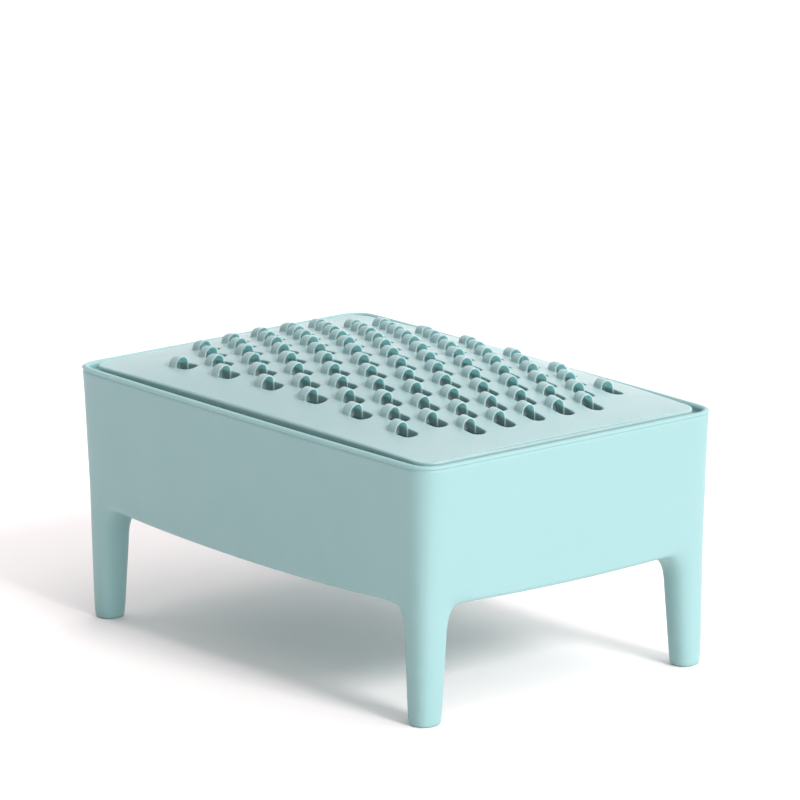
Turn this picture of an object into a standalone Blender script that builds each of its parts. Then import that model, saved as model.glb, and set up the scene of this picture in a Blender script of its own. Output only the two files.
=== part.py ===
"""Bar-soap grater dish: a catch tub on four legs with a drop-in domed grater lid.

Units are metres, +Z is up, and the origin is on the floor at the middle of the footprint.
X runs along the long side. The grating teeth cut towards +X.
"""

import math

import bmesh
import bpy

# Overall sizes
LENGTH = 0.112            # rim, outside, along X
WIDTH = 0.0734            # rim, outside, along Y
RIM_HEIGHT = 0.0516       # floor to the top of the rim
SIDE_BOW = 0.0005         # how far each long side swells out at its middle

# Tub walls
WALL = 0.0015             # wall beside the lid, at the rim
LOWER_WALL = 0.0019       # wall of the catch space below the seats
RIM_CORNER_R = 0.0052     # outer corner radius at the rim
FOOT_CORNER_R = 0.003     # outer corner radius at the floor
TAPER_X = 0.0028          # how far each end face leans in, rim to floor
TAPER_Y = 0.0012          # how far each long face leans in, rim to floor
TAPER_POWER = 0.7         # under 1 puts more of the lean near the rim
RIM_ROUND = 0.0004        # rounding of the rim's edges

# Belly: the curved underside between the legs
BELLY_Z = 0.0206          # underside at the middle
BELLY_CURVE_X = 0.7       # rise per square metre of x
BELLY_CURVE_Y = 1.1       # rise per square metre of y
FLOOR_THICKNESS = 0.002

# Legs
FOOT_SIZE = 0.0060        # leg thickness at the floor
LEG_TOP_SIZE = 0.0080     # leg thickness where it meets the belly
LEG_EDGE_R = 0.0024       # rounding of the leg's inner edges
LEG_FILLET = 0.0035       # fillet between leg and belly
FOOT_ROUND = 0.0007       # rounding round the bottom of a foot

# Corner posts inside the tub, which carry the lid
POST_SIZE = 0.0065
POST_EDGE_R = 0.0020

# Lid
LID_GAP = 0.0012          # from the rim's inner wall to the lid's edge
LID_THICKNESS = 0.0016
LID_CORNER_R = 0.0042
LID_CORNER_DROP = 0.00015  # lid corners sit this far below the rim
SEAT_CLEARANCE = 0.0003   # lid corners to corner posts
CROWN = 0.0050            # dome over the lid's edge
LONG_EDGE_ARCH = 0.0009   # rise of a long edge's middle over its corners
SHORT_EDGE_ARCH = 0.00035  # rise of a short edge's middle over its corners

# Teeth: columns along Y, every second column moved by half a pitch
COLUMN_PITCH = 0.00693
TOOTH_PITCH = 0.0073      # between two teeth of one column
FIELD_MARGIN_X = 0.0093   # from the lid's edge to the field of teeth
FIELD_MARGIN_Y = 0.0050
FIELD_ROUNDNESS = 4       # exponent of the field's outline; 2 would be an ellipse
TOOTH_WIDTH = 0.0031
TOOTH_HEIGHT = 0.0019
TOOTH_LENGTH = 0.0029     # back of the blister to the cutting edge
TOOTH_WALL = 0.00042      # shell of the hollow blister
HOLE_LENGTH = 0.0039      # cutting edge to the far end of the hole
HOLE_SIDE_PLAY = 0.00005  # how much wider than the tooth the hole is, each side
EDGE_SHIFT = 0.0006       # cutting edges sit this far past the column lines
TOOTH_SINK = 0.0006       # how deep a blister is rooted in the plate
TOOTH_SKIRT = 0.00035     # upright foot of a blister, below its round back

# Mesh fineness
CORNER_STEPS = 5
SIDE_STEPS = 6
TAPER_RINGS = 9
BLISTER_STEPS = 4
SCOOP_STEPS = 3
HOLE_END_STEPS = 4
PLATE_CELLS_X = 10
PLATE_CELLS_Y = 7

BELLY_CELLS_X = 12
BELLY_CELLS_Y = 8
LEG_STEPS = 4
FILLET_STEPS = 6
SMOOTH_ANGLE = 35         # degrees; sharper edges than this stay sharp

OVERSHOOT = 0.004         # how far cutters run past what they cut
SMALLEST_RADIUS = 0.001   # corners never get tighter than this
FILLET_REACH = 0.98       # share of the leg fillet that is drawn; the rest is all but flat
LEG_OVERLAP = 0.0003      # how far a leg's outer sides run past the body's faces

# Blister profile, as shares of its length and of its full section
BLISTER_BACK_SECTION = 0.74
BLISTER_FULL_PLACE = 0.74
BLISTER_FULL_SECTION = 0.98
BLISTER_FRONT_PLACE = 0.07
SCOOP_BACK_SECTION = 0.8
SCOOP_FRONT_PLACE = 0.1

# Finish
PLASTIC_COLOUR = (0.50, 0.72, 0.72)
PLASTIC_ROUGHNESS = 0.42


def clear_scene():
    for old in list(bpy.data.objects):
        bpy.data.objects.remove(old, do_unlink=True)


def plastic(name, colour):
    material = bpy.data.materials.new(name)
    material.use_nodes = True
    shader = material.node_tree.nodes["Principled BSDF"]
    shader.inputs["Base Color"].default_value = (*colour, 1.0)
    shader.inputs["Roughness"].default_value = PLASTIC_ROUGHNESS
    shader.inputs["Metallic"].default_value = 0.0
    return material


def add_object(name, verts, faces):
    mesh = bpy.data.meshes.new(name)
    mesh.from_pydata(verts, [], faces)
    obj = bpy.data.objects.new(name, mesh)
    bpy.context.scene.collection.objects.link(obj)
    face_outwards(mesh)
    return obj


def face_outwards(mesh):
    bm = bmesh.new()
    bm.from_mesh(mesh)
    bmesh.ops.recalc_face_normals(bm, faces=bm.faces)
    bm.to_mesh(mesh)
    bm.free()


def loft(name, rings):
    """A closed body through rings of points that all have the same count."""
    count = len(rings[0])
    verts = [point for ring in rings for point in ring]
    faces = [tuple(reversed(range(count)))]
    for level in range(len(rings) - 1):
        low = level * count
        for i in range(count):
            j = (i + 1) % count
            faces.append((low + i, low + j, low + count + j, low + count + i))
    faces.append(tuple(range(len(verts) - count, len(verts))))
    return add_object(name, verts, faces)


def arc(cx, cy, radius, start, steps):
    """A quarter turn, anticlockwise from the start angle."""
    points = []
    for i in range(steps + 1):
        angle = start + math.pi / 2 * i / steps
        points.append((cx + radius * math.cos(angle), cy + radius * math.sin(angle)))
    return points


def long_side(half_x, half_y, radius, bow, side):
    """Points along one long side, between its corner arcs, swollen by the bow."""
    straight = half_x - radius
    points = []
    for i in range(1, SIDE_STEPS):
        x = side * straight * (1 - 2 * i / SIDE_STEPS)
        points.append((x, side * (half_y + bow * (1 - (x / straight) ** 2))))
    return points


def rounded_rect(half_x, half_y, radius, bow=0.0):
    points = arc(half_x - radius, half_y - radius, radius, 0.0, CORNER_STEPS)
    points += long_side(half_x, half_y, radius, bow, 1)
    points += arc(radius - half_x, half_y - radius, radius, math.pi / 2, CORNER_STEPS)
    points += arc(radius - half_x, radius - half_y, radius, math.pi, CORNER_STEPS)
    points += long_side(half_x, half_y, radius, bow, -1)
    points += arc(half_x - radius, radius - half_y, radius, -math.pi / 2, CORNER_STEPS)
    return points


def at_height(points, z):
    return [(x, y, z) for x, y in points]


def lean(z):
    """Share of the taper that has been used at a height: 0 at the rim, 1 at the floor."""
    depth = min(max(1 - z / RIM_HEIGHT, 0.0), 1.0)
    return depth ** TAPER_POWER


def half_length(z):
    return LENGTH / 2 - TAPER_X * lean(z)


def half_width(z):
    return WIDTH / 2 - TAPER_Y * lean(z)


def corner_radius(z):
    share = min(max(z / RIM_HEIGHT, 0.0), 1.0)
    return FOOT_CORNER_R + (RIM_CORNER_R - FOOT_CORNER_R) * share


def body_section(z, inset):
    """The tub's outline at a height, moved in by the inset."""
    radius = max(corner_radius(z) - inset, SMALLEST_RADIUS)
    return rounded_rect(half_length(z) - inset, half_width(z) - inset, radius, SIDE_BOW)


def body_block():
    """The tub's outer shape before anything is cut out of it."""
    rings = [at_height(body_section(0.0, FOOT_ROUND), 0.0)]
    top = RIM_HEIGHT - RIM_ROUND
    for i in range(TAPER_RINGS + 1):
        z = FOOT_ROUND + (top - FOOT_ROUND) * i / TAPER_RINGS
        rings.append(at_height(body_section(z, 0.0), z))
    rings.append(at_height(body_section(RIM_HEIGHT, RIM_ROUND), RIM_HEIGHT))
    return loft("tub", rings)


def belly_height(x, y):
    return BELLY_Z + BELLY_CURVE_X * x * x + BELLY_CURVE_Y * y * y


def below_belly(name, rise):
    """Everything below the belly's surface, lifted by the rise."""
    cells_x = BELLY_CELLS_X
    cells_y = BELLY_CELLS_Y
    reach_x = LENGTH / 2 + OVERSHOOT
    reach_y = WIDTH / 2 + OVERSHOOT
    top = []
    for row in range(cells_y + 1):
        y = reach_y * (2 * row / cells_y - 1)
        for column in range(cells_x + 1):
            x = reach_x * (2 * column / cells_x - 1)
            top.append((x, y, belly_height(x, y) + rise))
    return close_below(name, top, cells_x, cells_y, -2 * OVERSHOOT)


def close_below(name, top, cells_x, cells_y, bottom_z):
    """Turn a grid of points into a closed block that ends flat at bottom_z."""
    row_length = cells_x + 1
    count = len(top)
    bottom = [(x, y, bottom_z) for x, y, _ in top]
    faces = []
    for row in range(cells_y):
        for column in range(cells_x):
            a = row * row_length + column
            quad = (a, a + 1, a + row_length + 1, a + row_length)
            faces.append(quad)
            faces.append(tuple(count + i for i in reversed(quad)))
    border = grid_border(cells_x, cells_y)
    for i, a in enumerate(border):
        b = border[(i + 1) % len(border)]
        faces.append((b, a, count + a, count + b))
    return add_object(name, top + bottom, faces)


def grid_border(cells_x, cells_y):
    """Indices round the edge of a grid, anticlockwise from its first corner."""
    row_length = cells_x + 1
    border = list(range(cells_x))
    border += [cells_x + row * row_length for row in range(cells_y)]
    border += [cells_y * row_length + column for column in range(cells_x, 0, -1)]
    border += [row * row_length for row in range(cells_y, 0, -1)]
    return border


def leg_size(z):
    return FOOT_SIZE + (LEG_TOP_SIZE - FOOT_SIZE) * z / BELLY_Z


def leg_flare(z, belly_z):
    """How far the fillet under the belly spreads the leg at a height."""
    up = z - (belly_z - LEG_FILLET)
    if up <= 0.0:
        return 0.0
    up = min(up, LEG_FILLET * FILLET_REACH)
    return LEG_FILLET - math.sqrt(LEG_FILLET ** 2 - up ** 2)


def leg_ring(sign_x, sign_y, z, belly_z, shrink):
    """A leg's section: its outer sides run just past the body, which trims them."""
    size = leg_size(max(z, 0.0)) + leg_flare(z, belly_z)
    inner_x = half_length(z) - size + shrink
    inner_y = half_width(z) - size + shrink
    outer_x = half_length(z) + LEG_OVERLAP - shrink
    outer_y = half_width(z) + LEG_OVERLAP - shrink
    mid_x = (inner_x + outer_x) / 2
    mid_y = (inner_y + outer_y) / 2
    section = rounded_rect((outer_x - inner_x) / 2, (outer_y - inner_y) / 2, LEG_EDGE_R)
    return [(sign_x * mid_x + x, sign_y * mid_y + y, z) for x, y in section]


def leg_column(sign_x, sign_y):
    corner_x = LENGTH / 2 - TAPER_X - LEG_TOP_SIZE / 2
    corner_y = WIDTH / 2 - TAPER_Y - LEG_TOP_SIZE / 2
    belly_z = belly_height(corner_x, corner_y)
    rings = [leg_ring(sign_x, sign_y, -OVERSHOOT, belly_z, FOOT_ROUND)]
    rings.append(leg_ring(sign_x, sign_y, 0.0, belly_z, FOOT_ROUND))
    straight_top = belly_z - LEG_FILLET
    for i in range(LEG_STEPS + 1):
        z = FOOT_ROUND + (straight_top - FOOT_ROUND) * i / LEG_STEPS
        rings.append(leg_ring(sign_x, sign_y, z, belly_z, 0.0))
    for i in range(1, FILLET_STEPS):
        z = straight_top + LEG_FILLET * math.sin(math.pi / 2 * i / FILLET_STEPS)
        rings.append(leg_ring(sign_x, sign_y, z, belly_z, 0.0))
    rings.append(leg_ring(sign_x, sign_y, belly_z + OVERSHOOT, belly_z, 0.0))
    return loft("leg_column", rings)


def seat_height():
    """Top of the corner posts, where the lid's corners rest."""
    return RIM_HEIGHT - LID_CORNER_DROP - LID_THICKNESS - SEAT_CLEARANCE


def lid_recess():
    """The shallow upper part of the opening, which holds the lid."""
    rings = []
    levels = ((seat_height(), WALL), (RIM_HEIGHT - RIM_ROUND, WALL))
    for z, inset in levels:
        rings.append(at_height(body_section(z, inset), z))
    flare = WALL - RIM_ROUND
    rings.append(at_height(body_section(RIM_HEIGHT, flare), RIM_HEIGHT))
    rings.append(at_height(body_section(RIM_HEIGHT, flare), RIM_HEIGHT + OVERSHOOT))
    return loft("lid_recess", rings)


def post_corner(half_x, half_y, quarter):
    """The notch that a corner post leaves in the catch space, for one quarter."""
    x = half_x - POST_SIZE
    y = half_y - POST_SIZE
    edge = POST_EDGE_R
    inner = arc(x + edge, y + edge, edge, math.pi, CORNER_STEPS)
    points = [(half_x, y)] + list(reversed(inner)) + [(x, half_y)]
    if quarter in (1, 3):
        points.reverse()
    sign_x = (1, -1, -1, 1)[quarter]
    sign_y = (1, 1, -1, -1)[quarter]
    return [(sign_x * px, sign_y * py) for px, py in points]


def catch_section(z):
    half_x = half_length(z) - LOWER_WALL
    half_y = half_width(z) - LOWER_WALL
    points = []
    for quarter in range(4):
        points += post_corner(half_x, half_y, quarter)
    return at_height(points, z)


def catch_space():
    """The hollow that catches the gratings, with a post left in each corner."""
    low = BELLY_Z - OVERSHOOT
    high = seat_height() + SEAT_CLEARANCE
    rings = []
    for i in range(TAPER_RINGS):
        rings.append(catch_section(low + (high - low) * i / (TAPER_RINGS - 1)))
    space = loft("catch_space", rings)
    floor = below_belly("catch_floor", FLOOR_THICKNESS)
    boolean(space, floor, "DIFFERENCE")
    return space


def boolean(target, cutter, operation):
    modifier = target.modifiers.new(cutter.name, "BOOLEAN")
    modifier.object = cutter
    modifier.operation = operation
    modifier.solver = "EXACT"
    cutter.hide_render = True
    cutter.display_type = "WIRE"


def shade(obj, degrees):
    obj.data.shade_smooth()
    obj.data.set_sharp_from_angle(angle=math.radians(degrees))


def make_tub(material):
    tub = body_block()
    under = below_belly("under_space", 0.0)
    for sign_x in (-1, 1):
        for sign_y in (-1, 1):
            boolean(under, leg_column(sign_x, sign_y), "DIFFERENCE")
    boolean(tub, under, "DIFFERENCE")
    boolean(tub, catch_space(), "DIFFERENCE")
    boolean(tub, lid_recess(), "DIFFERENCE")
    tub.data.materials.append(material)
    shade(tub, SMOOTH_ANGLE)
    return tub


def lid_half_size():
    inset = WALL + LID_GAP
    return LENGTH / 2 - inset, WIDTH / 2 - inset


def dome(x, y):
    """Height of the lid's upper surface over its corners."""
    half_x, half_y = lid_half_size()
    along = 1 - (x / half_x) ** 2
    across = 1 - (y / half_y) ** 2
    return LONG_EDGE_ARCH * along + SHORT_EDGE_ARCH * across + CROWN * along * across


def flat_plate():
    """A flat plate cut into cells, so that it can be domed afterwards."""
    half_x, half_y = lid_half_size()
    reach_x = half_x + OVERSHOOT
    reach_y = half_y + OVERSHOOT
    top = []
    for row in range(PLATE_CELLS_Y + 1):
        y = reach_y * (2 * row / PLATE_CELLS_Y - 1)
        for column in range(PLATE_CELLS_X + 1):
            x = reach_x * (2 * column / PLATE_CELLS_X - 1)
            top.append((x, y, 0.0))
    return close_below("grater_lid", top, PLATE_CELLS_X, PLATE_CELLS_Y, -LID_THICKNESS)


def lid_outline():
    half_x, half_y = lid_half_size()
    outline = rounded_rect(half_x, half_y, LID_CORNER_R, SIDE_BOW)
    return loft("lid_outline", [at_height(outline, -OVERSHOOT), at_height(outline, OVERSHOOT)])


def in_field(x, y):
    """True inside the rounded outline that the teeth fill."""
    half_x, half_y = lid_half_size()
    along = abs(x) / (half_x - FIELD_MARGIN_X)
    across = abs(y) / (half_y - FIELD_MARGIN_Y)
    return along ** FIELD_ROUNDNESS + across ** FIELD_ROUNDNESS <= 1.0


def tooth_places():
    """The cutting edge of every tooth, column by column."""
    half_x, half_y = lid_half_size()
    columns = int(half_x / COLUMN_PITCH)
    rows = int(half_y / TOOTH_PITCH) + 1
    for column in range(-columns, columns + 1):
        x = column * COLUMN_PITCH
        shift = 0.5 if column % 2 else 0.0
        for row in range(-rows, rows + 1):
            y = (row + shift) * TOOTH_PITCH
            if in_field(x, y):
                yield x + EDGE_SHIFT, y


def arch_ring(x, y, half, height, foot_z, steps):
    """One cross-section of a tooth: an arch with upright feet that end at foot_z."""
    ring = []
    rise = height - TOOTH_SKIRT
    for i in range(steps + 1):
        angle = math.pi * i / steps
        ring.append((x, y + half * math.cos(angle), TOOTH_SKIRT + rise * math.sin(angle)))
    ring.append((x, y - half, foot_z))
    ring.append((x, y + half, foot_z))
    return ring


def arches(name, profile, half, height, foot_z, steps):
    """One lofted arch at every tooth, with (place along X, share of size) as its profile."""
    bodies = []
    for x, y in tooth_places():
        rings = []
        for place, share in profile:
            ring = arch_ring(x + place, y, half * share, height * share, foot_z, steps)
            rings.append(ring)
        bodies.append(rings)
    return join_lofts(name, bodies)


def blisters():
    """The outside of all teeth: rounded at the back, cut off at the front."""
    back = TOOTH_LENGTH
    profile = (
        (-back, BLISTER_BACK_SECTION),
        (-BLISTER_FULL_PLACE * back, BLISTER_FULL_SECTION),
        (BLISTER_FRONT_PLACE * back, 1.0),
    )
    half = TOOTH_WIDTH / 2
    return arches("blisters", profile, half, TOOTH_HEIGHT, -TOOTH_SINK, BLISTER_STEPS)


def scoops():
    """The hollows under all teeth, open to the hole in front and to the space below."""
    back = TOOTH_LENGTH - TOOTH_WALL
    profile = ((-back, SCOOP_BACK_SECTION), (SCOOP_FRONT_PLACE * TOOTH_LENGTH, 1.0))
    half = TOOTH_WIDTH / 2 - TOOTH_WALL
    height = TOOTH_HEIGHT - TOOTH_WALL
    return arches("scoops", profile, half, height, -OVERSHOOT, SCOOP_STEPS)


def hole_outline(x, y):
    """The hole in front of a tooth: straight at the cutting edge, round at the far end."""
    half = TOOTH_WIDTH / 2 + HOLE_SIDE_PLAY
    straight = HOLE_LENGTH - half
    points = [(x, y + half), (x, y - half)]
    for i in range(HOLE_END_STEPS + 1):
        angle = -math.pi / 2 + math.pi * i / HOLE_END_STEPS
        end_x = x + straight + half * math.cos(angle)
        points.append((end_x, y + half * math.sin(angle)))
    return points


def holes():
    bodies = []
    for x, y in tooth_places():
        outline = hole_outline(x, y)
        bodies.append([at_height(outline, -OVERSHOOT), at_height(outline, OVERSHOOT)])
    return join_lofts("holes", bodies)


def join_lofts(name, bodies):
    """Many small lofts as separate bodies of one mesh."""
    verts = []
    faces = []
    for rings in bodies:
        count = len(rings[0])
        base = len(verts)
        verts += [point for ring in rings for point in ring]
        for level in range(len(rings) - 1):
            low = base + level * count
            for i in range(count):
                j = (i + 1) % count
                faces.append((low + i, low + j, low + count + j, low + count + i))
        faces.append(tuple(base + i for i in reversed(range(count))))
        last = len(verts) - count
        faces.append(tuple(last + i for i in range(count)))
    return add_object(name, verts, faces)


def apply_modifiers(obj):
    graph = bpy.context.evaluated_depsgraph_get()
    shaped = bpy.data.meshes.new_from_object(obj.evaluated_get(graph))
    obj.modifiers.clear()
    obj.data = shaped


def make_lid(material):
    lid = flat_plate()
    tools = [lid_outline(), blisters(), scoops(), holes()]
    for tool, operation in zip(tools, ("INTERSECT", "UNION", "DIFFERENCE", "DIFFERENCE")):
        boolean(lid, tool, operation)
    apply_modifiers(lid)
    for tool in tools:
        bpy.data.objects.remove(tool, do_unlink=True)
    corner_z = RIM_HEIGHT - LID_CORNER_DROP
    for vertex in lid.data.vertices:
        vertex.co.z += dome(vertex.co.x, vertex.co.y) + corner_z
    lid.data.materials.clear()
    lid.data.materials.append(material)
    shade(lid, SMOOTH_ANGLE)
    return lid


clear_scene()
make_tub(plastic("tub_plastic", PLASTIC_COLOUR))
make_lid(plastic("lid_plastic", PLASTIC_COLOUR))
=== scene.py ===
# %% [markdown]
# # A grater dish for bar soap, in two moulded pieces
# The dish is a small catch tub on four legs with a domed grater lid that drops
# into its rim. Both are injection moulded from one pale aqua plastic. This lesson
# builds each piece by hand modelling steps, gives both a plastic finish, and
# lights them as a studio would: a white tent over a pale floor.

import math

import bmesh
import bpy
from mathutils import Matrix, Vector


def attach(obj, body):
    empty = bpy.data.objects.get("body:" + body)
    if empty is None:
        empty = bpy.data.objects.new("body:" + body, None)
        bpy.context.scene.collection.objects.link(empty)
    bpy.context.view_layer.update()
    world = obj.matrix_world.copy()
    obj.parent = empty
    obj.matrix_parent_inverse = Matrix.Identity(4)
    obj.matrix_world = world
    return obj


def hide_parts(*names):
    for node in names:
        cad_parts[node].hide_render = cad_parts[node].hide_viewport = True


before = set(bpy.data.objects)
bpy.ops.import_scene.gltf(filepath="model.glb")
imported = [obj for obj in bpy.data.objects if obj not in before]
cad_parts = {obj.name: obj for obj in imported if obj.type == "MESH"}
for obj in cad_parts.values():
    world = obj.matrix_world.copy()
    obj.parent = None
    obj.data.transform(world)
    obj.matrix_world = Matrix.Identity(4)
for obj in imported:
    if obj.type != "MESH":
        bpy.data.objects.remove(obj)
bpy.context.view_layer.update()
MM = 0.001

# %% [markdown]
# ## The camera
# A small object looks natural through a long lens from a step back: its parallel
# edges then stay almost parallel. The camera is placed by a distance, an azimuth
# and an elevation round an aim point, which is easier to reason about than three
# loose coordinates, and a roll of half a degree tilts the view as if hand held.

# %% the camera
AIM = Vector((-2.2, 3.9, 47.6)) * MM
CAMERA_DISTANCE = 1375 * MM
CAMERA_AZIMUTH = math.radians(-38.5)    # from +X, anticlockwise seen from above
CAMERA_ELEVATION = math.radians(13.8)
CAMERA_ROLL = math.radians(-0.48)
SENSOR_WIDTH, LENS = 36, 315            # camera units: millimetres on the sensor

flat_reach = math.cos(CAMERA_ELEVATION)
towards_camera = Vector((flat_reach * math.cos(CAMERA_AZIMUTH),
                         flat_reach * math.sin(CAMERA_AZIMUTH),
                         math.sin(CAMERA_ELEVATION)))
bpy.ops.object.camera_add(location=AIM + CAMERA_DISTANCE * towards_camera)
camera = bpy.context.object
camera.name = "camera"
turn = towards_camera.to_track_quat("Z", "Y").to_matrix().to_4x4()
turn.translation = camera.location
camera.matrix_world = turn
camera.rotation_euler.rotate_axis("Z", CAMERA_ROLL)
camera.data.sensor_width = SENSOR_WIDTH
camera.data.lens = LENS
bpy.context.scene.camera = camera
print("camera at", [round(c / MM) for c in camera.location], "mm")

# %% [markdown]
# ## Floor and light
# The dish stands on pale paper inside a light tent. A tent gives light from every
# side, but not evenly: here it is brightest beyond the short end of the dish, softer
# behind it and dim on the long side that faces the viewer. So the sky is a gradient
# over directions, and the short end becomes the bright one while the long side stays
# in shade. Two broad soft suns add the shadows: one low beyond the short end, for the
# short soft shadows of the feet, and one high up, for the soft shade under the tub.

# %% the sky
bpy.context.scene.view_settings.view_transform = "Standard"


def srgb(hex_code, alpha=1.0):
    """A colour as typed in a paint program, turned to the linear values a shader adds up."""
    values = []
    for start in (0, 2, 4):
        step = int(hex_code[start:start + 2], 16) / 255
        values.append(step / 12.92 if step <= 0.04045 else ((step + 0.055) / 1.055) ** 2.4)
    return (*values, alpha)


def add_node(material, kind, settings=None, links=None):
    """Adds one node; settings are its own fields or its input values, links feed its inputs."""
    node = material.node_tree.nodes.new(kind)
    for name, value in (settings or {}).items():
        if isinstance(name, str) and hasattr(node, name):
            setattr(node, name, value)
        else:
            node.inputs[name].default_value = value
    for name, source in (links or {}).items():
        material.node_tree.links.new(source, node.inputs[name])
    return node


SKY_START, SKY_FULL = 0.15, 0.95        # a side's light starts and is full here, -1 to 1

world = bpy.data.worlds.new("light_tent")
bpy.context.scene.world = world
world.use_nodes = True
world.node_tree.nodes["Background"].inputs["Color"].default_value = srgb("fcfdff")
sky_direction = add_node(world, "ShaderNodeTexCoord").outputs["Generated"]
sky_axes = add_node(world, "ShaderNodeSeparateXYZ", None, {"Vector": sky_direction})


def sky_side(light, axis, side, strength):
    """Adds to the light so far a share that grows smoothly towards one side of the sky."""
    ramp = add_node(world, "ShaderNodeMapRange",
                    {"interpolation_type": "SMOOTHSTEP",
                     "From Min": SKY_START * side, "From Max": SKY_FULL * side,
                     "To Min": 0.0, "To Max": strength},
                    {"Value": sky_axes.outputs[axis]})
    total = add_node(world, "ShaderNodeMath", {"operation": "ADD"},
                     {0: light, 1: ramp.outputs["Result"]})
    return total.outputs[0]


even_light = add_node(world, "ShaderNodeValue").outputs[0]
even_light.default_value = 0.03
tent_light = sky_side(even_light, "X", 1, 1.6)      # beyond the short end that is seen
tent_light = sky_side(tent_light, "X", -1, 0.8)     # beyond the far short end
tent_light = sky_side(tent_light, "Y", 1, 1.1)      # behind the dish
tent_light = sky_side(tent_light, "Z", 1, 0.3)      # overhead
world.node_tree.links.new(tent_light, world.node_tree.nodes["Background"].inputs["Strength"])
print("sky with", len(world.node_tree.nodes), "nodes")

# %% the floor
bpy.ops.mesh.primitive_plane_add(size=8)    # metres, so that its edge is never seen
floor = bpy.context.object
floor.name = "floor"
paper = bpy.data.materials.new("white_paper_floor")
paper.use_nodes = True
paper_shader = paper.node_tree.nodes["Principled BSDF"]
paper_shader.inputs["Roughness"].default_value = 0.9
paper_shader.inputs["Specular IOR Level"].default_value = 0.2
paper_shader.inputs["Base Color"].default_value = srgb("fbf3f2")
floor.data.materials.append(paper)
print("floor", [round(side) for side in floor.dimensions], "m")

# %% the suns


def soft_sun(name, azimuth, elevation, spread, strength):
    """A sun seen from a direction in degrees, as wide as its spread, so its shadows are soft."""
    a, e = math.radians(azimuth), math.radians(elevation)
    away = Vector((math.cos(e) * math.cos(a), math.cos(e) * math.sin(a), math.sin(e)))
    bpy.ops.object.light_add(type="SUN", location=away)
    lamp = bpy.context.object
    lamp.name = name
    lamp.data.angle = math.radians(spread)
    lamp.data.energy = strength
    lamp.rotation_euler = away.to_track_quat("Z", "Y").to_euler()


soft_sun("low_soft_sun", azimuth=2, elevation=34, spread=16, strength=2.2)
soft_sun("high_soft_sun", azimuth=80, elevation=72, spread=60, strength=0.9)

# %% [markdown]
# ## The plastic
# Both pieces are moulded ABS, coloured right through with a pale aqua pigment. The
# mould is spark eroded, which leaves a fine satin grain of about a tenth of a
# millimetre; it is drawn here at a third of a millimetre, the finest that still
# shows. Pigment never mixes perfectly, so the colour drifts a little over
# centimetres, and a few dark flecks of burnt resin sit in the surface. IOR 1.53
# and a roughness near 0.4 are usual for such a satin moulding. Light enters such
# plastic for about a millimetre, which keeps thin walls, like the teeth, from going
# grey in the shade. The thick tub shows less of it than the lid.

# %% the plastic finish
CLOUD_SIZE = 18 * MM        # the colour drifts over this distance
FLECK_SPACING = 7 * MM      # one cell of the fleck pattern
FLECK_RADIUS = 0.032        # as a share of a cell
FLECK_CHANCE = 0.1          # share of the cells that hold a fleck
FLECK_DEPTH = 0.35
GRAIN_SIZE = 0.33 * MM
GRAIN_HEIGHT = 0.02 * MM
WEAR_SIZE = 9 * MM
LIGHT_DEPTH = 1.5 * MM      # how far light travels inside the plastic
FLECK_COLOUR = "4d5a58"
PLASTIC_IOR = 1.53
SCATTER_COLOUR = (0.7, 1.0, 1.0)        # red light travels less far than the rest
GRAIN_STRENGTH = 0.25
WEAR_SPREAD = 0.05          # how far wear moves the roughness either way
MIX_A, MIX_B, MIX_RESULT = 6, 7, 2      # the colour sockets of a Mix node


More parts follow.
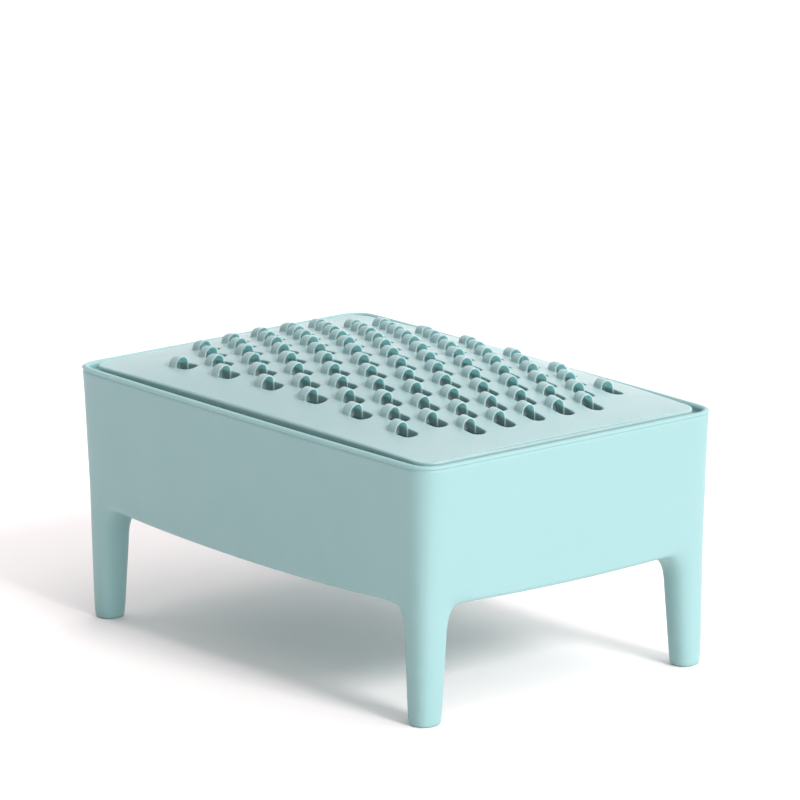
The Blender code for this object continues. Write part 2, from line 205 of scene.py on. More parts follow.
def satin_abs(name, colour, drift, roughness, glow):
    """Pale pigmented ABS from a spark-eroded mould; glow is the share of light let in."""
    material = bpy.data.materials.new(name)
    material.use_nodes = True
    shader = material.node_tree.nodes["Principled BSDF"]
    shader.inputs["IOR"].default_value = PLASTIC_IOR
    shader.inputs["Subsurface Weight"].default_value = glow
    shader.inputs["Subsurface Radius"].default_value = SCATTER_COLOUR
    shader.inputs["Subsurface Scale"].default_value = LIGHT_DEPTH
    links = material.node_tree.links
    place = add_node(material, "ShaderNodeTexCoord").outputs["Object"]
    cloud = add_node(material, "ShaderNodeTexNoise",
                     {"Scale": 1 / CLOUD_SIZE, "Detail": 2.0, "Roughness": 0.5},
                     {"Vector": place})
    tint = add_node(material, "ShaderNodeMix", {"data_type": "RGBA"})
    tint.inputs[MIX_A].default_value = srgb(colour)
    tint.inputs[MIX_B].default_value = srgb(drift)
    links.new(cloud.outputs["Fac"], tint.inputs[0])

    # Flecks: one cell in ten holds a round speck.
    cells = add_node(material, "ShaderNodeTexVoronoi", {"Scale": 1 / FLECK_SPACING},
                     {"Vector": place})
    speck = add_node(material, "ShaderNodeMath", {"operation": "LESS_THAN", 1: FLECK_RADIUS},
                     {0: cells.outputs["Distance"]})
    chosen = add_node(material, "ShaderNodeSeparateColor", None,
                      {"Color": cells.outputs["Color"]})
    rare = add_node(material, "ShaderNodeMath", {"operation": "GREATER_THAN", 1: 1 - FLECK_CHANCE},
                    {0: chosen.outputs["Red"]})
    fleck = add_node(material, "ShaderNodeMath", {"operation": "MULTIPLY"},
                     {0: speck.outputs[0], 1: rare.outputs[0]})
    faded = add_node(material, "ShaderNodeMath", {"operation": "MULTIPLY", 1: FLECK_DEPTH},
                     {0: fleck.outputs[0]})
    body = add_node(material, "ShaderNodeMix", {"data_type": "RGBA"})
    body.inputs[MIX_B].default_value = srgb(FLECK_COLOUR)
    links.new(tint.outputs[MIX_RESULT], body.inputs[MIX_A])
    links.new(faded.outputs[0], body.inputs[0])
    links.new(body.outputs[MIX_RESULT], shader.inputs["Base Color"])

    # The mould's grain, and a slow change of gloss where the mould is worn.
    grain = add_node(material, "ShaderNodeTexNoise",
                     {"Scale": 1 / GRAIN_SIZE, "Detail": 2.0}, {"Vector": place})
    wear = add_node(material, "ShaderNodeTexNoise",
                    {"Scale": 1 / WEAR_SIZE, "Detail": 3.0}, {"Vector": place})
    gloss = add_node(material, "ShaderNodeMapRange",
                     {"From Min": 0.3, "From Max": 0.7,
                      "To Min": roughness - WEAR_SPREAD, "To Max": roughness + WEAR_SPREAD},
                     {"Value": wear.outputs["Fac"]})
    links.new(gloss.outputs["Result"], shader.inputs["Roughness"])
    bump = add_node(material, "ShaderNodeBump",
                    {"Strength": GRAIN_STRENGTH, "Distance": GRAIN_HEIGHT},
                    {"Height": grain.outputs["Fac"]})
    links.new(bump.outputs["Normal"], shader.inputs["Normal"])
    return material


tub_finish = satin_abs("moulded_abs_tub", colour="8aafaf", drift="87acad",
                       roughness=0.42, glow=0.1)
# The lid is the same plastic as the tub, but its colour is set lighter and greyer: painted light,
# standing in for the light that falls on its upturned, domed top.
lid_finish_painted_lighter = satin_abs("moulded_abs_lid_painted_lighter", colour="97b0b0", drift="94adae",
                       roughness=0.38, glow=0.9)

# %% [markdown]
# ## Working by hand in code
# In edit mode an operator acts on what is selected, so each step first selects
# vertices, edges or faces by where they are. These helpers do that, and they move
# or resize the selection about a point that is always given, because the pivot
# setting has no effect without a window.

# %% edit helpers
UP, DOWN = 0.9, -0.5       # limits for the Z of a face's normal that points up or down
TINY = 0.01 * MM           # two places closer than this are the same
INSIDE = 0.1 * MM          # what lies deeper than this is not on the outline


def select(kind, test):
    """Select only the vertices, edges or faces of the edited mesh that pass the test."""
    bpy.ops.mesh.select_mode(type=kind)
    bpy.ops.mesh.select_all(action="DESELECT")
    mesh = bpy.context.edit_object.data
    bm = bmesh.from_edit_mesh(mesh)
    items = {"VERT": bm.verts, "EDGE": bm.edges, "FACE": bm.faces}[kind]
    chosen = [item for item in items if test(item)]
    for item in chosen:
        item.select_set(True)
    bm.select_flush_mode()
    bmesh.update_edit_mesh(mesh)
    return len(chosen)


def near(a, b, reach=0.05 * MM):
    return abs(a - b) < reach


def middle(item):
    """The centre of an edge or a face."""
    return sum((v.co for v in item.verts), Vector()) / len(item.verts)


def move(x=0.0, y=0.0, z=0.0):
    bpy.ops.transform.translate(value=(x, y, z))


def resize(x=1.0, y=1.0, z=1.0, about=(0.0, 0.0, 0.0)):
    bpy.ops.transform.resize(value=(x, y, z), center_override=about)


def extrude(x=0.0, y=0.0, z=0.0):
    bpy.ops.mesh.extrude_region_move(TRANSFORM_OT_translate={"value": (x, y, z)})


def extrude_to(z, start=0.1 * MM):
    """Extrude the selected faces down a little, then lay the new ones flat at a height."""
    extrude(z=-start)
    resize(1, 1, 0, about=(0, 0, z))


def cut(place, direction):
    """A straight cut right round the mesh, through a place and across a direction."""
    bpy.ops.mesh.select_all(action="SELECT")
    bpy.ops.mesh.bisect(plane_co=place, plane_no=direction)


def choose(*objects):
    """Select only these objects, and make the first of them the active one."""
    bpy.ops.object.select_all(action="DESELECT")
    for obj in objects:
        obj.select_set(True)
    bpy.context.view_layer.objects.active = objects[0]


def start_editing(obj, name):
    """Give a fresh primitive its name, freeze its size and place, and open it."""
    obj.name = name
    obj.data.name = name
    bpy.ops.object.transform_apply(location=True, rotation=True, scale=True)
    bpy.ops.object.mode_set(mode="EDIT")
    return obj


# %% [markdown]
# ## The tub, outside
# The real tub comes out of one mould: four sides that lean in towards the floor,
# with the legs as its drawn-down corners. Straight cuts and booleans would leave
# hard joints where the legs begin, and on this piece those are soft. So the tub is
# a coarse cage of quads that a Subdivision Surface rounds off. The cage starts as a
# box from the belly to the rim. Its upright edges are bevelled in two steps, which
# is enough for the subdivision to make a round corner.

# %% the box and its corners
LENGTH, WIDTH, RIM_Z = 112 * MM, 73.4 * MM, 51.6 * MM
BELLY_Z = 20.6 * MM                    # underside at its middle
RIM_CORNER = 5.2 * MM                  # corner radius at the rim
FOOT_CORNER = 3 * MM                   # and at the floor
TAPER_X, TAPER_Y = 2.8 * MM, 1.2 * MM  # how far the sides lean in, rim to floor
TAPER_POWER = 0.7                      # under 1 puts more of the lean near the rim
LEG_CAGE = 8.2 * MM                    # cage width of a leg where it leaves the belly
CAGE_BEVEL = 0.7 * RIM_CORNER          # the subdivision rounds this to the full radius
CAGE_PROFILE = 0.386
CORNER_ZONE = 0.8 * RIM_CORNER         # what is nearer than this belongs to a corner

bpy.ops.object.select_all(action="DESELECT")
bpy.ops.mesh.primitive_cube_add(size=1, location=(0, 0, (BELLY_Z + RIM_Z) / 2),
                                scale=(LENGTH, WIDTH, RIM_Z - BELLY_Z))
tub = start_editing(bpy.context.object, "tub_body")


def upright(edge):
    a, b = (v.co for v in edge.verts)
    return near(a.x, b.x) and near(a.y, b.y) and not near(a.z, b.z)


select("EDGE", upright)
bpy.ops.mesh.bevel(offset=CAGE_BEVEL, segments=2, profile=CAGE_PROFILE, affect="EDGES")

# %% cut the cage into columns and bands
leg_x = LENGTH / 2 - LEG_CAGE
leg_y = WIDTH / 2 - LEG_CAGE
SKIRT_BAND = 4 * MM        # the first band over the skirt's edge
FILLET_SPAN = 10.5 * MM    # cage spacing beside a leg, which sets how soft its fillet is
columns_x = (0, 26 * MM, leg_x - FILLET_SPAN, leg_x)
columns_y = (0, leg_y - FILLET_SPAN, leg_y)
for x in columns_x:
    for side in {x, -x}:
        cut((side, 0, 0), (1, 0, 0))
for y in columns_y:
    for side in {y, -y}:
        cut((0, side, 0), (0, 1, 0))
GROOVE_Z = RIM_Z - 0.95 * MM
GROOVE_SIDE = 0.25 * MM    # cage spacing above and below the groove's bottom
bands = (BELLY_Z + SKIRT_BAND, 33 * MM, 41 * MM, 47 * MM, 49.6 * MM,
         GROOVE_Z - GROOVE_SIDE, GROOVE_Z, GROOVE_Z + GROOVE_SIDE)
for z in bands:
    cut((0, 0, z), (0, 0, 1))
print("cage", len(bmesh.from_edit_mesh(tub.data).verts), "vertices")

# %% lean the sides and tighten the corners towards the floor


def lean(z):
    """Share of the lean used at a height: most of it is spent close to the rim."""
    return max(1 - z / RIM_Z, 0.0) ** TAPER_POWER


def half_length(z):
    return LENGTH / 2 - TAPER_X * lean(z)


def half_width(z):
    return WIDTH / 2 - TAPER_Y * lean(z)


def corner_share(z):
    return (FOOT_CORNER + (RIM_CORNER - FOOT_CORNER) * z / RIM_Z) / RIM_CORNER


CORNERS = ((1, 1), (-1, 1), (-1, -1), (1, -1))


def shape_level(z):
    """Bring one level of the cage to its size, and its corners to their radius."""
    for sx, sy in CORNERS:
        def in_corner(v):
            depth = max(LENGTH / 2 - sx * v.co.x, WIDTH / 2 - sy * v.co.y)
            return near(v.co.z, z) and depth < CORNER_ZONE
        select("VERT", in_corner)
        share = corner_share(z)
        resize(share, share, 1, about=(sx * LENGTH / 2, sy * WIDTH / 2, z))
    select("VERT", lambda v: near(v.co.z, z))
    resize(2 * half_length(z) / LENGTH, 2 * half_width(z) / WIDTH, 1)


for z in (BELLY_Z, *bands, RIM_Z):
    shape_level(z)

# %% [markdown]
# The long sides swell out half a millimetre at their middle, and a shallow groove
# under the rim makes the edge look like a turned-over lip. The underside is a
# shallow bowl turned upside down: it rises towards the sides and most at the legs.
# Lifting it line by line, first along and then across, adds the two rises.

# %% bow, groove and belly
BOW = 0.5 * MM                             # how far the long sides swell out
BOW_END = leg_x - 2 * MM                   # the legs keep their place
LEANED = 0.965                             # the lean has drawn each column in to this share
COLUMN_REACH = 1.8 * MM                    # and its points lie this near to that place
GROOVE_DEPTH = 0.2 * MM
BELLY_CURVE_X, BELLY_CURVE_Y = 0.7, 1.1    # metres of rise per square metre

for x in columns_x:
    grown = 1 + BOW * (1 - (x / leg_x) ** 2) / (WIDTH / 2)
    select("VERT", lambda v: near(abs(v.co.x), x * LEANED, COLUMN_REACH)
           and abs(v.co.x) < BOW_END)
    resize(1, grown, 1)

select("VERT", lambda v: near(v.co.z, GROOVE_Z))
resize(1 - 2 * GROOVE_DEPTH / LENGTH, 1 - 2 * GROOVE_DEPTH / WIDTH, 1)


def belly_rise(x, y):
    """How much higher the underside is at a place than at its middle."""
    return BELLY_CURVE_X * x * x + BELLY_CURVE_Y * y * y


def lift(test):
    """Raise the vertices that pass the test by the underside's rise at their place."""
    bm = bmesh.from_edit_mesh(tub.data)
    for v in bm.verts:
        if test(v):
            v.co.z += belly_rise(v.co.x, v.co.y)
    bmesh.update_edit_mesh(tub.data)


lift(lambda v: v.co.z < BELLY_Z + SKIRT_BAND + TINY)

# %% [markdown]
# ## The legs
# Each leg is the corner of the underside, extruded to the floor in four steps. At
# every step the section is made flat at its new height and drawn in towards the
# outer corner, so the leg thins from eight millimetres to six. An inset holds the
# sole flat.

# %% draw the legs down
# height of each step, and its width as a share of the step above
LEG_STEPS = ((15.5 * MM, 0.95), (9.0 * MM, 0.91), (0.9 * MM, 0.905), (0.0, 0.9))
SOLE_INSET = 0.9 * MM
LEG_TOP = BELLY_Z + SKIRT_BAND + 2 * MM    # no leg begins above this
LEG_LINE = 0.94                            # and none inside this share of the legs' lines


def leg_end(face):
    at = middle(face)
    below = face.normal.z < DOWN and at.z < LEG_TOP
    return below and abs(at.x) > leg_x * LEG_LINE and abs(at.y) > leg_y * LEG_LINE


select("FACE", leg_end)
for z, narrower in LEG_STEPS:
    extrude_to(z, start=1 * MM)
    for sx, sy in CORNERS:
        def in_leg(v):
            return near(v.co.z, z) and v.co.x * sx > 0 and v.co.y * sy > 0
        select("VERT", in_leg)
        bm = bmesh.from_edit_mesh(tub.data)
        ends = [v.co for v in bm.verts if v.select]
        outer = Vector((sx * max(sx * p.x for p in ends), sy * max(sy * p.y for p in ends), z))
        target = Vector((sx * half_length(z), sy * half_width(z), z))
        if z == 0.0:    # the sole shrinks about its own middle
            centre = sum(ends, Vector()) / len(ends)
            resize(narrower, narrower, 1, about=centre)
        else:
            resize(narrower, narrower, 1, about=outer)
            shift = target - outer
            move(shift.x, shift.y, 0)
    feet = select("FACE", lambda f: f.normal.z < DOWN and near(middle(f).z, z))
bpy.ops.mesh.inset(thickness=SOLE_INSET, depth=0, use_even_offset=True)
print("legs end on", feet, "faces")

# %% [markdown]
# ## The tub, inside
# The hollow is made from the top: the rim's thickness is two insets, whose middle line
# stays up as the crown of a rounded lip. The lid's seat is extruded down, and
# everything except the four corners then goes on down to the tub's floor. The corners
# that stay behind are the posts that carry the lid.

# %% sink the hollow
WALL, LOWER_WALL = 1.5 * MM, 1.9 * MM
LIP_DROP = 0.45 * MM           # the lip's two edges lie this far below its crown
LIP_Z = RIM_Z - 1.1 * MM       # where the lip ends inside
BELOW_LIP = RIM_Z - 0.6 * MM   # between the lip's outer edge and the first band below it
SEAT_Z = RIM_Z - 2.05 * MM
FLOOR_THICKNESS = 2 * MM
HOLLOW_LEVELS = (SEAT_Z - 1.0 * MM, 38 * MM, 27 * MM, BELLY_Z + FLOOR_THICKNESS)

select("FACE", lambda f: f.normal.z > UP and near(middle(f).z, RIM_Z))
bpy.ops.mesh.inset(thickness=WALL / 2, depth=0, use_even_offset=True)
bpy.ops.mesh.inset(thickness=WALL / 2, depth=0, use_even_offset=True)
resize(1, 1, 0, about=(0, 0, RIM_Z - LIP_DROP))
for z in (LIP_Z, SEAT_Z):
    extrude_to(z)

select("FACE", lambda f: f.normal.z > UP and near(middle(f).z, SEAT_Z)
       and not (abs(middle(f).x) > leg_x and abs(middle(f).y) > leg_y))
bpy.ops.mesh.inset(thickness=LOWER_WALL - WALL, depth=0, use_even_offset=True)
last_z = SEAT_Z
for level in HOLLOW_LEVELS:
    extrude_to(level)
    resize((half_length(level) - LOWER_WALL) / (half_length(last_z) - LOWER_WALL),
           (half_width(level) - LOWER_WALL) / (half_width(last_z) - LOWER_WALL), 1)
    last_z = level
lift(lambda v: v.select)


def on_lip_edge(v):
    """The lip's outer edge: level with the crown, and joined to the side below it."""
    joined_below = any(e.other_vert(v).co.z < BELOW_LIP for e in v.link_edges)
    return near(v.co.z, RIM_Z) and joined_below


select("VERT", on_lip_edge)
move(0, 0, -LIP_DROP)

# %% [markdown]
# The skirt's lower edge is crisper than the rest, so its edges get a crease, which
# tells the subdivision to round them less. The crease stops before the legs, where
# the edge melts into the leg's side.

# %% crease the skirt and subdivide
SKIRT_CREASE = 0.45
EDGE_ZONE = 1 * MM         # edges nearer to a side than this belong to it
SKIRT_REACH = 0.3 * MM     # and they lie this near to the underside


def on_skirt(edge):
    a, b = (v.co for v in edge.verts)
    for p in (a, b):
        if not near(p.z, BELLY_Z + belly_rise(p.x, p.y), SKIRT_REACH):
            return False
    at = (a + b) / 2
    on_end = abs(at.x) > half_length(BELLY_Z) - EDGE_ZONE and abs(at.y) < leg_y
    on_side = abs(at.y) > half_width(BELLY_Z) - EDGE_ZONE and abs(at.x) < leg_x - EDGE_ZONE
    return on_end or on_side


creased = select("EDGE", on_skirt)
bpy.ops.transform.edge_crease(value=SKIRT_CREASE)
bpy.ops.mesh.select_all(action="SELECT")
bpy.ops.mesh.normals_make_consistent(inside=False)
bpy.ops.object.mode_set(mode="OBJECT")
rounding = tub.modifiers.new("rounding", "SUBSURF")
rounding.levels = rounding.render_levels = 3
bpy.ops.object.modifier_apply(modifier="rounding")
bpy.ops.object.shade_smooth()
tub.data.materials.append(tub_finish)
print("tub:", creased, "creased edges,", len(tub.data.polygons), "faces")
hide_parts("tub")
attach(tub, "base")

# %% [markdown]
# ## One tooth
# The lid grates with ninety-three hollow half barrels. Each is closed and round at
# its back and cut off square at the front, where its thin wall is the blade; a slot
# in front of it lets the gratings fall through. One tooth with its slot is modelled
# on a small tile of plate. Half a flattened ball gives the round back, its open side
# is drawn forward for the barrel, and a smaller copy makes the hollow.

# %% the barrel, outside and inside
EDGE_X = 0.6 * MM            # the cutting edge, ahead of the column line
TOOTH_HALF = 1.62 * MM       # half width of a barrel
TOOTH_HEIGHT = 1.8 * MM
BACK_LENGTH = 0.9 * MM       # the round back, flatter than a ball
TOOTH_LENGTH = 2.9 * MM
TOOTH_WALL = 0.28 * MM
FOOT_FILLET = 0.2 * MM       # soft foot between barrel and plate
LID_THICKNESS = 1.6 * MM
BALL_SEGMENTS, BALL_RINGS = 24, 12
ball_x = EDGE_X - (TOOTH_LENGTH - BACK_LENGTH)


def barrel(half, height, back):
    """Half a ball drawn forward to the cutting edge, standing on the foot's fillet."""
    bpy.ops.mesh.primitive_uv_sphere_add(segments=BALL_SEGMENTS, ring_count=BALL_RINGS,
                                         radius=half, rotation=(0, math.pi / 2, 0))
    resize(back / half, 1, (height - FOOT_FILLET) / half)
    move(ball_x, 0, FOOT_FILLET)


bpy.ops.object.select_all(action="DESELECT")
bpy.ops.mesh.primitive_plane_add(size=1 * MM)
tile = start_editing(bpy.context.object, "tooth_tile")
bpy.ops.mesh.delete(type="VERT")
for wall in (0, TOOTH_WALL):
    barrel(TOOTH_HALF - wall, TOOTH_HEIGHT - wall, BACK_LENGTH - wall)
select("VERT", lambda v: v.co.x > ball_x + TINY or v.co.z < FOOT_FILLET - TINY)
bpy.ops.mesh.delete(type="VERT")
select("EDGE", lambda e: all(near(v.co.x, ball_x, TINY) for v in e.verts)
       and middle(e).z > FOOT_FILLET)
extrude(x=EDGE_X - ball_x)
print("barrel from", round(ball_x / MM, 2), "to", round(EDGE_X / MM, 2), "mm")

# %% [markdown]
# The outside needs a soft foot: its lower edge is extruded down and out in two small
# steps, as a moulded fillet would run. The inside goes straight down through the
# plate.

# %% the foot outside and the well inside
FOOT_STEPS = ((0.05 * MM, 0.13 * MM), (0.13 * MM, 0.07 * MM))    # out and down
FOOT_REACH = 0.06 * MM       # how far a foot's vertex may lie from its half circle


def foot_of(half, z, back_length):
    """Edges along the lower end of the barrel whose half width and back are given."""
    def test(e):
        if not all(near(v.co.z, z, TINY) for v in e.verts):
            return False
        if all(near(v.co.x, EDGE_X, TINY) for v in e.verts):
            return False
        for v in e.verts:
            behind = min(v.co.x - ball_x, 0.0) * half / back_length
            if not near(Vector((behind, v.co.y)).length, half, FOOT_REACH):
                return False
        return True
    return test


def square_front():
    """Bring the front end of a grown foot back to the cutting edge's plane."""
    bm = bmesh.from_edit_mesh(tile.data)
    for v in bm.verts:
        if v.select and v.co.x > EDGE_X:
            v.co.x = EDGE_X
    bmesh.update_edit_mesh(tile.data)


half, z = TOOTH_HALF, FOOT_FILLET
select("EDGE", foot_of(half, z, BACK_LENGTH))
for out, down in FOOT_STEPS:
    extrude(z=-down)
    z -= down
    grow = (half + out) / half
    resize(grow, grow, 1, about=(ball_x, 0, z))
    square_front()
    half += out

inner_half = TOOTH_HALF - TOOTH_WALL
select("EDGE", foot_of(inner_half, FOOT_FILLET, BACK_LENGTH - TOOTH_WALL))
extrude(z=-FOOT_FILLET - LID_THICKNESS)

# %% the blade's cut face


def front_arch(e):
    on_front = all(near(v.co.x, EDGE_X, TINY) for v in e.verts)
    return on_front and all(v.co.z > FOOT_FILLET - TINY for v in e.verts)


select("EDGE", front_arch)
bpy.ops.mesh.bridge_edge_loops()

# %% [markdown]
# The slot is half a circle drawn out into a U, pushed down through the plate. Its
# first step down is a tiny chamfer, which catches the light as a moulded edge does.

# %% the slot
SLOT_LENGTH = 3.9 * MM
SLOT_HALF = TOOTH_HALF
SLOT_VERTICES = 20           # of a whole circle
CHAMFER = 0.1 * MM
slot_x = EDGE_X + SLOT_LENGTH - SLOT_HALF
bpy.ops.mesh.select_mode(type="VERT")
bpy.ops.mesh.select_all(action="DESELECT")
bpy.ops.mesh.primitive_circle_add(vertices=SLOT_VERTICES, radius=SLOT_HALF + CHAMFER,
                                  location=(slot_x, 0, 0))
select("VERT", lambda v: v.co.x < slot_x - TINY and v.co.x > EDGE_X + 2 * TINY
       and near(v.co.z, 0, TINY))
bpy.ops.mesh.delete(type="VERT")
select("VERT", lambda v: near(v.co.x, slot_x, TINY) and near(v.co.z, 0, TINY)
       and near(abs(v.co.y), SLOT_HALF + CHAMFER, TINY))
extrude(x=EDGE_X - slot_x)
select("EDGE", lambda e: all(near(v.co.z, 0, TINY) for v in e.verts)
       and middle(e).x > EDGE_X + 2 * TINY)
extrude(z=-CHAMFER)
shrink = SLOT_HALF / (SLOT_HALF + CHAMFER)
select("VERT", lambda v: near(v.co.z, -CHAMFER, TINY))
resize(1, shrink, 1)
select("VERT", lambda v: near(v.co.z, -CHAMFER, TINY) and v.co.x > slot_x + TINY)
resize(shrink, 1, 1, about=(slot_x, 0, 0))
select("EDGE", lambda e: all(near(v.co.z, -CHAMFER, TINY) for v in e.verts))
extrude(z=CHAMFER - LID_THICKNESS)

# %% the corners between slot and barrel
for side in (1, -1):
    def at_corner(v):
        return (near(v.co.x, EDGE_X, TINY) and side * v.co.y > inner_half - 2 * TINY
                and v.co.z < FOOT_FILLET + TINY)
    for z in (0.0, -LID_THICKNESS):
        select("VERT", lambda v: at_corner(v) and near(v.co.z, z, TINY))
        bpy.ops.mesh.edge_face_add()
    found = select("EDGE", lambda e: all(at_corner(v) for v in e.verts))
    bpy.ops.mesh.edge_face_add()
    print("corner with", found, "edges")

# %% [markdown]
# Teeth stand in a brick pattern, so a tile must meet its neighbours half a tile
# further on. The tile's long edges are therefore divided evenly: whatever lies next
# to it, the vertices meet. The plate between its border and the tooth is filled flat,
# above and below.

# %% the tile's plate
COLUMN = 6.93 * MM           # column to column along X
ROW = 3.65 * MM              # row to row along Y, half the spacing inside a column
TILE_X = EDGE_X + (SLOT_LENGTH - TOOTH_LENGTH) / 2
DIVISIONS_X, DIVISIONS_Y = 4, 2       # of a plain cell; a tile is two cells long
CLEAR = 3 * MM               # a border is drawn this far above the tile, then lowered


def border(z):
    """The outline of a tile, divided evenly, with nothing inside."""
    level = CLEAR + z
    bpy.ops.mesh.select_mode(type="VERT")
    bpy.ops.mesh.select_all(action="DESELECT")
    bpy.ops.mesh.primitive_grid_add(x_subdivisions=2 * DIVISIONS_X, y_subdivisions=DIVISIONS_Y,
                                    size=1, location=(0, 0, level))
    resize(2 * COLUMN, ROW, 1, about=(0, 0, level))
    move(TILE_X, 0, 0)
    select("VERT", lambda v: near(v.co.z, level, TINY) and near(v.co.y, 0, INSIDE)
           and abs(v.co.x - TILE_X) < COLUMN - INSIDE)
    bpy.ops.mesh.delete(type="VERT")
    select("VERT", lambda v: near(v.co.z, level, TINY))
    bpy.ops.mesh.delete(type="ONLY_FACE")
    select("VERT", lambda v: near(v.co.z, level, TINY))
    move(0, 0, -CLEAR)


for z in (0.0, -LID_THICKNESS):
    border(z)
bpy.ops.mesh.select_all(action="SELECT")
bpy.ops.mesh.remove_doubles(threshold=TINY / 5)
for z in (0.0, -LID_THICKNESS):
    found = select("EDGE", lambda e: all(near(v.co.z, z, TINY) for v in e.verts)
                   and len(e.link_faces) < 2)
    bpy.ops.mesh.fill(use_beauty=True)
    print("plate at", z, "from", found, "edges")
bpy.ops.object.mode_set(mode="OBJECT")
print("tile faces", len(tile.data.polygons))

# %% [markdown]
# ## Laying out the lid
# A plain cell, half as long as a tile, fills the plate where there are no teeth.
# Each row is a run of plain cells, a run of teeth two columns apart, and plain cells
# again; every second row starts one column later. A run is one copy of its tile with
# an Array modifier. Teeth fill a rounded field and leave the lid's border bare.

# %% a plain cell
bpy.ops.object.select_all(action="DESELECT")
bpy.ops.mesh.primitive_grid_add(x_subdivisions=DIVISIONS_X, y_subdivisions=DIVISIONS_Y, size=1)
plain = bpy.context.object
plain.scale = (COLUMN, ROW, 1)
plain = start_editing(plain, "plain_cell")
bpy.ops.mesh.select_all(action="SELECT")
bpy.ops.mesh.duplicate_move(TRANSFORM_OT_translate={"value": (0, 0, -LID_THICKNESS)})
bpy.ops.object.mode_set(mode="OBJECT")

# %% rows of cells and teeth
LID_HALF_X, LID_HALF_Y = 53.3 * MM, 34.0 * MM
MARGIN_X, MARGIN_Y = 9.3 * MM, 5.0 * MM    # from the lid's edge to the field of teeth
END_COLUMN, END_ROW = 8, 10  # the plate reaches this many columns and rows each way
FIELD_ROUNDNESS = 4          # 2 would make the field of teeth an ellipse
runs = []


def lay_run(master, count, step, x, y):
    """A copy of a tile, repeated along X, that starts at a place."""
    if count < 1:
        return
    choose(master)
    bpy.ops.object.duplicate(linked=False)
    run = bpy.context.object
    run.location = (x, y, 0)
    bpy.ops.object.transform_apply(location=True, rotation=False, scale=False)
    array = run.modifiers.new("run", "ARRAY")
    array.use_relative_offset = False
    array.use_constant_offset = True
    array.constant_offset_displace = (step, 0, 0)
    array.count = count
    bpy.ops.object.modifier_apply(modifier="run")
    runs.append(run)


def in_field(column, row):
    along = abs(column * COLUMN) / (LID_HALF_X - MARGIN_X)
    across = abs(row * ROW) / (LID_HALF_Y - MARGIN_Y)
    return along ** FIELD_ROUNDNESS + across ** FIELD_ROUNDNESS <= 1


teeth = 0
for row in range(-END_ROW, END_ROW + 1):
    toothed = [c for c in range(-END_COLUMN, END_COLUMN + 1)
               if (c + row) % 2 == 0 and in_field(c, row)]
    first = TILE_X - COLUMN * (END_COLUMN + 0.5)
    if not toothed:
        lay_run(plain, 2 * END_COLUMN + 2, COLUMN, first, row * ROW)
        continue
    lay_run(plain, END_COLUMN + toothed[0], COLUMN, first, row * ROW)
    lay_run(tile, len(toothed), 2 * COLUMN, toothed[0] * COLUMN, row * ROW)
    right = (toothed[-1] + 1.5) * COLUMN + TILE_X
    lay_run(plain, END_COLUMN - toothed[-1], COLUMN, right, row * ROW)
    teeth += len(toothed)
print(teeth, "teeth in", len(runs), "runs")

# %% [markdown]
# The runs are joined and their meeting vertices merged. That leaves an upper and a
# lower skin that are open round the outside; bridging the two borders closes them
# into one solid plate, ready to be cut to shape.

# %% join the runs into one plate
choose(*runs)
lid = runs[0]
bpy.ops.object.join()
lid.name = lid.data.name = "grater_lid_shell"
bpy.ops.object.mode_set(mode="EDIT")
bpy.ops.mesh.select_all(action="SELECT")
bpy.ops.mesh.remove_doubles(threshold=TINY)
open_edges = select("EDGE", lambda e: len(e.link_faces) == 1)
bpy.ops.mesh.bridge_edge_loops()
bpy.ops.mesh.select_all(action="SELECT")
bpy.ops.mesh.normals_make_consistent(inside=False)
bpy.ops.object.mode_set(mode="OBJECT")
for master in (tile, plain):
    bpy.data.objects.remove(master, do_unlink=True)
print("plate:", open_edges, "border edges,", len(lid.data.polygons), "faces")

# %% [markdown]
# ## Cutting the lid to its outline
# The outline is a block with round corners, slightly bowed long sides and an upper
# edge that is rolled in by insets. A boolean keeps only the plate inside the block, so
# the lid gets its shape and its rounded edge in one cut, while it is still flat.

# %% the outline block
LID_CORNER = 4.2 * MM
CORNER_SEGMENTS = 14
BLOCK_HEIGHT = 10 * MM
BLOCK_TOP = -0.4 * MM            # the rolled edge starts here, under the plate's top
BOW_CUTS = (0, 0.25, 0.5, 0.7, 0.9)    # where the long sides can bend
# in and up, in millimetres: the rolled edge, then a steep step that clears the teeth
ROLLED_EDGE = ((0.02, 0.13), (0.05, 0.12), (0.1, 0.1), (0.16, 0.05), (1.2, 4.0))

bpy.ops.object.select_all(action="DESELECT")
bpy.ops.mesh.primitive_cube_add(size=1, location=(0, 0, BLOCK_TOP - BLOCK_HEIGHT / 2),
                                scale=(2 * LID_HALF_X, 2 * LID_HALF_Y, BLOCK_HEIGHT))
block = start_editing(bpy.context.object, "lid_outline")
select("EDGE", upright)
bpy.ops.mesh.bevel(offset=LID_CORNER, segments=CORNER_SEGMENTS, profile=0.5, affect="EDGES")
straight = LID_HALF_X - LID_CORNER
for share in sorted({side * place for place in BOW_CUTS for side in (-1, 1)}):
    cut((share * straight, 0, 0), (1, 0, 0))
for share in BOW_CUTS:
    select("VERT", lambda v: near(abs(v.co.x), share * straight))
    resize(1, 1 + BOW * (1 - share ** 2) / LID_HALF_Y, 1)
bpy.ops.mesh.select_mode(type="FACE")
select("FACE", lambda f: f.normal.z > UP)
for inward, up in ROLLED_EDGE:
    bpy.ops.mesh.inset(thickness=inward * MM, depth=up * MM, use_even_offset=True)
bpy.ops.object.mode_set(mode="OBJECT")

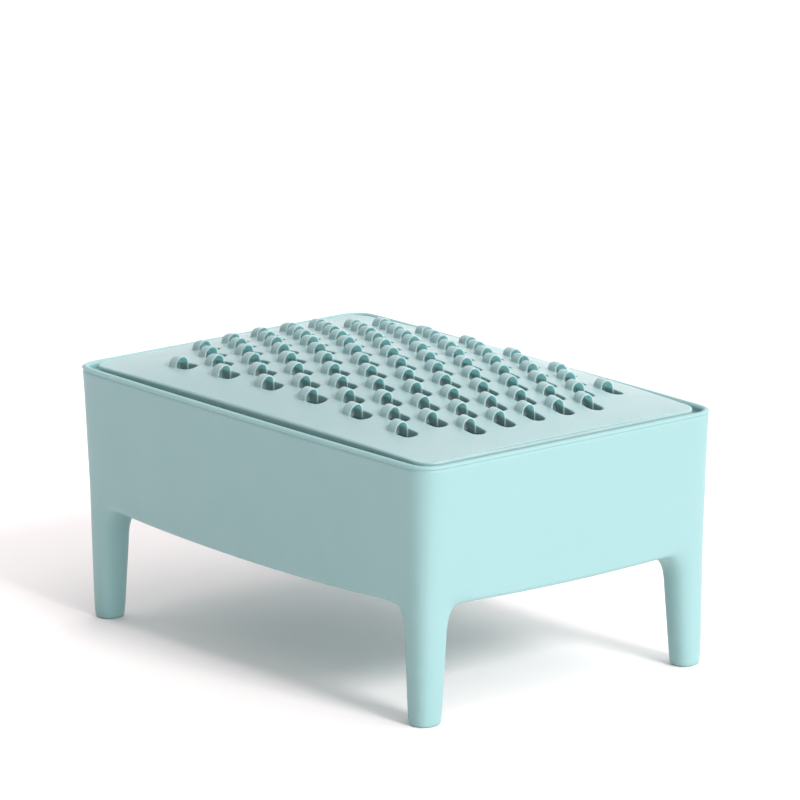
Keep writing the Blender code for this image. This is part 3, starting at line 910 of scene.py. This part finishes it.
# %% cut, then drop the block
choose(lid)
trim = lid.modifiers.new("trim", "BOOLEAN")
trim.operation = "INTERSECT"
trim.solver = "EXACT"
trim.object = block
bpy.ops.object.modifier_apply(modifier="trim")
bpy.data.objects.remove(block, do_unlink=True)
print("lid cut to", [round(d / MM, 2) for d in lid.dimensions], "mm")

# %% [markdown]
# ## Doming the lid
# The real lid is crowned both ways, five millimetres over its edge. A lattice bends
# the flat plate: each lattice point is lifted by the crown at its place, and the
# smooth lattice carries plate and teeth with it. It reaches past the lid on all
# sides, so that the bend stays even right to the edge.

# %% the lattice
CROWN, LONG_ARCH, SHORT_ARCH = 5.0 * MM, 0.9 * MM, 0.35 * MM
LID_Z = RIM_Z - 0.15 * MM    # height of the plate's top at its edge
LATTICE_SIZE = (150 * MM, 105 * MM, 20 * MM)
LATTICE_POINTS = (25, 19, 2)


def dome(x, y):
    along = 1 - (x / LID_HALF_X) ** 2
    across = 1 - (y / LID_HALF_Y) ** 2
    return LONG_ARCH * along + SHORT_ARCH * across + CROWN * along * across


bpy.ops.object.select_all(action="DESELECT")
bpy.ops.object.add(type="LATTICE")
cage = bpy.context.object
cage.scale = LATTICE_SIZE
cage.data.points_u, cage.data.points_v, cage.data.points_w = LATTICE_POINTS
for point in cage.data.points:
    x, y = point.co.x * cage.scale.x, point.co.y * cage.scale.y
    point.co_deform.z = point.co.z + dome(x, y) / cage.scale.z
bpy.context.view_layer.update()
choose(lid)
crown = lid.modifiers.new("crown", "LATTICE")
crown.object = cage
bpy.ops.object.modifier_apply(modifier="crown")
bpy.data.objects.remove(cage, do_unlink=True)

# %% set the lid in its rim
SMOOTH_BELOW = math.radians(60)    # edges that turn more than this stay sharp

bpy.ops.object.mode_set(mode="EDIT")
bpy.ops.mesh.select_all(action="SELECT")
move(0, 0, LID_Z)
bpy.ops.object.mode_set(mode="OBJECT")
bpy.ops.object.shade_smooth_by_angle(angle=SMOOTH_BELOW)
even = lid.modifiers.new("even_shading", "WEIGHTED_NORMAL")
even.keep_sharp = True
bpy.ops.object.modifier_apply(modifier="even_shading")
lid.data.materials.clear()
lid.data.materials.append(lid_finish_painted_lighter)
print("lid:", len(lid.data.polygons), "faces")
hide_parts("grater_lid")
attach(lid, "lid")
